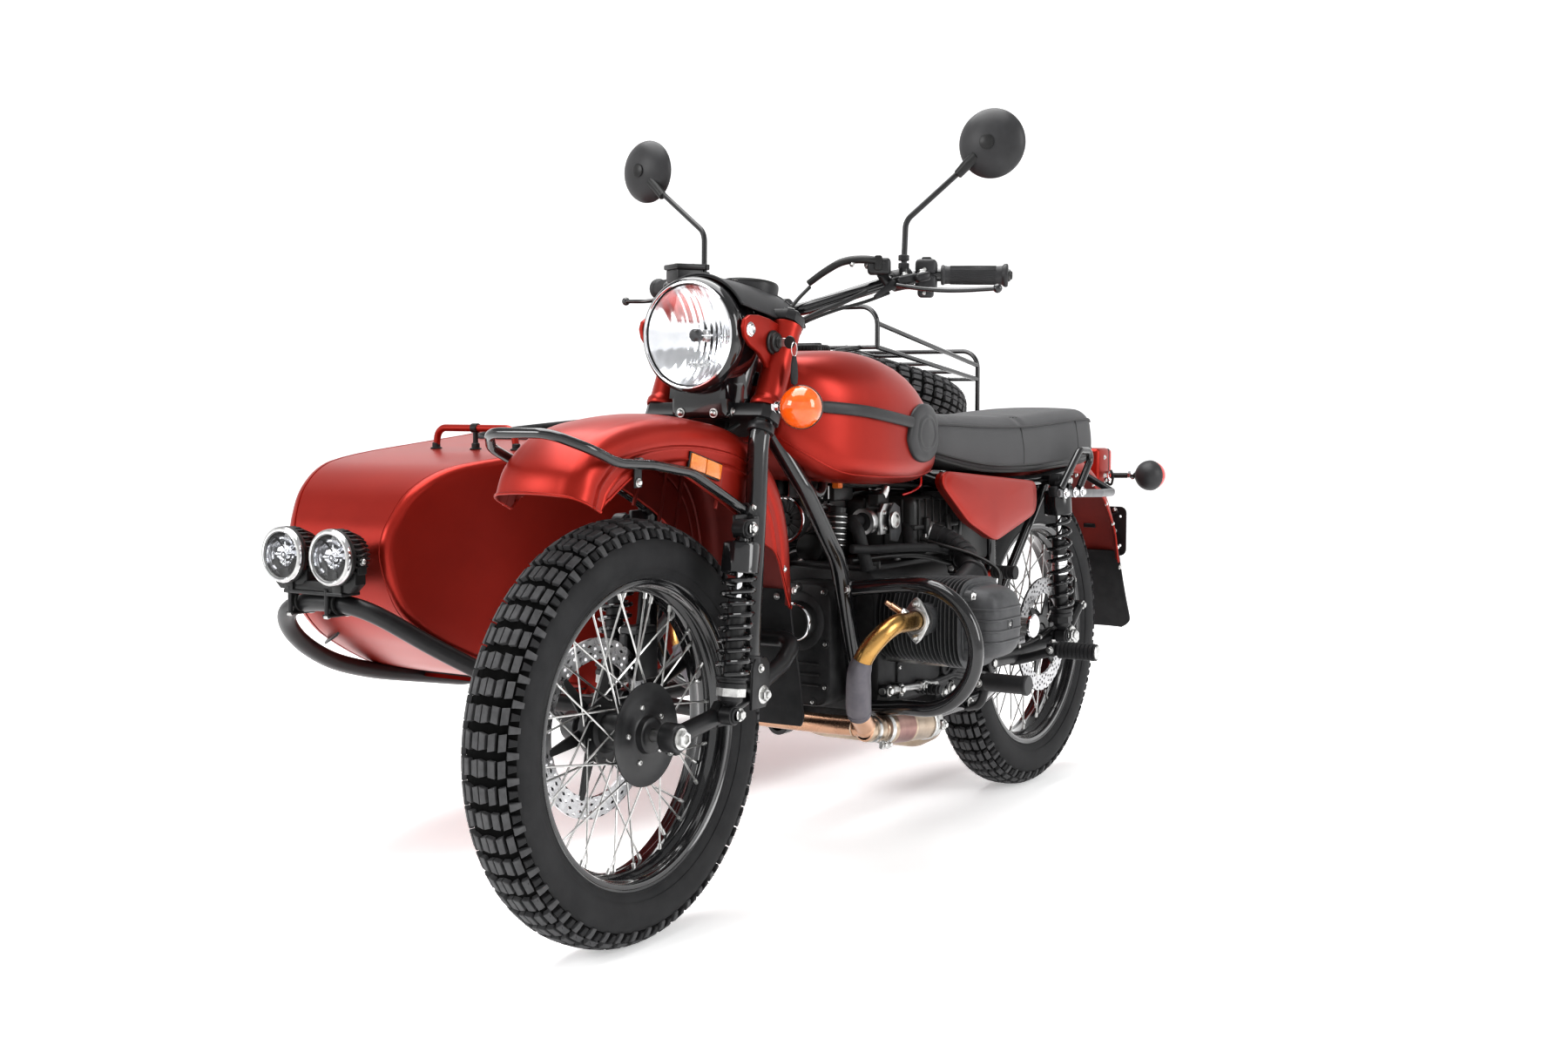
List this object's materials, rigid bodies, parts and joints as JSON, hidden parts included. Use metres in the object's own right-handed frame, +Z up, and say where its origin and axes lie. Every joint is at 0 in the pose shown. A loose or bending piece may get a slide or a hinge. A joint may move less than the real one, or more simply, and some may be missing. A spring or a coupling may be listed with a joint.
{
  "type": "sidecar motorcycle",
  "caption": "Retro motorcycle with leading-link fork and sidecar: wheels spin, bars steer, boot lid with spare wheel opens, centre stand folds down.",
  "frame": {"origin": "centre of the whole vehicle's bounding box in plan, on the ground", "axes": "-Y is forwards, +X is the rider's left (the sidecar is on the rider's right, at -X), +Z is up"},
  "size_m": [1.6442, 2.5342, 1.379],
  "materials": {
    "paint_red": "satin metallic",
    "gloss_black": "gloss",
    "satin_black": "satin",
    "engine_black": "matt cast",
    "brushed_steel": "heat-tinted",
    "spoked_rim": "gloss black rim, bright spokes",
    "tyre_rubber": "matt",
    "soft_rubber": "matt",
    "seat_vinyl": "matt vinyl",
    "grey_plastic": "satin",
    "amber_lens": "clear",
    "red_lens": "clear",
    "lamp": "black shell with clear glass"
  },
  "bodies": {
    "chassis": {"main_frame": "gloss_black", "engine_case": "engine_black", "engine_cylinders": "engine_black", "exhaust_system": "brushed_steel", "fuel_tank": "paint_red", "tank_pads": "soft_rubber", "rider_seat": "seat_vinyl", "side_covers": "paint_red", "air_intake": "engine_black", "rear_fender": "paint_red", "rear_swing_arm": "satin_black", "rear_shocks": "gloss_black", "crash_bars": "gloss_black", "grab_handles": "satin_black", "rear_lights": "red_lens", "plate_bracket": "satin_black", "rear_mudflap": "soft_rubber", "foot_pegs": "soft_rubber", "kick_lever": "satin_black", "gear_pedal": "satin_black", "brake_pedal": "satin_black", "sidecar_frame": "satin_black", "sidecar_body": "paint_red", "sidecar_seat": "seat_vinyl", "sidecar_fender": "paint_red", "sidecar_suspension": "satin_black", "sidecar_shock": "gloss_black", "driving_lamps": "lamp", "sidecar_handle": "paint_red", "sidecar_lights": "amber_lens", "sidecar_drive_shaft": "satin_black"},
    "trunk_lid": {"trunk_lid": "paint_red", "spare_tyre": "tyre_rubber", "spare_wheel": "spoked_rim", "luggage_rack": "satin_black"},
    "centre_stand": {"centre_stand": "satin_black"},
    "fork": {"fork_legs": "gloss_black", "fork_link": "satin_black", "front_shocks": "gloss_black", "front_fender": "paint_red", "fender_bar": "satin_black", "front_mudflap": "soft_rubber", "headlight": "lamp", "fork_covers": "paint_red", "instrument_cowl": "grey_plastic", "handlebar": "gloss_black", "hand_controls": "grey_plastic", "mirrors": "grey_plastic", "front_signal": "amber_lens"},
    "front_wheel": {"front_tyre": "tyre_rubber", "front_wheel": "spoked_rim"},
    "rear_wheel": {"rear_tyre": "tyre_rubber", "rear_wheel": "spoked_rim"},
    "sidecar_wheel": {"sidecar_tyre": "tyre_rubber", "sidecar_wheel": "spoked_rim"}
  },
  "joints": [
    {"name": "steering", "type": "hinge", "parent": "chassis", "child": "fork", "pos_m": [0.3919, -0.55605, 0.987], "axis": [0, 0.4226, 0.9063], "range_deg": [-28, 28]},
    {"name": "front_wheel_spin", "type": "hinge", "parent": "fork", "child": "front_wheel", "pos_m": [0.3919, -0.92205, 0.345], "axis": [1, 0, 0], "continuous": true},
    {"name": "rear_wheel_spin", "type": "hinge", "parent": "chassis", "child": "rear_wheel", "pos_m": [0.3919, 0.54795, 0.345], "axis": [1, 0, 0], "continuous": true},
    {"name": "sidecar_wheel_spin", "type": "hinge", "parent": "chassis", "child": "sidecar_wheel", "pos_m": [-0.7381, 0.49795, 0.345], "axis": [1, 0, 0], "continuous": true},
    {"name": "trunk_lid_hinge", "type": "hinge", "parent": "chassis", "child": "trunk_lid", "pos_m": [-0.3281, 0.46395, 0.845], "axis": [1, 0, 0], "range_deg": [0, 55]},
    {"name": "centre_stand_hinge", "type": "hinge", "parent": "chassis", "child": "centre_stand", "pos_m": [0.3919, -0.09205, 0.24], "axis": [-1, 0, 0], "range_deg": [0, 88], "stiffness_Nm_per_rad": 6, "springref_deg": -34.38}
  ]
}
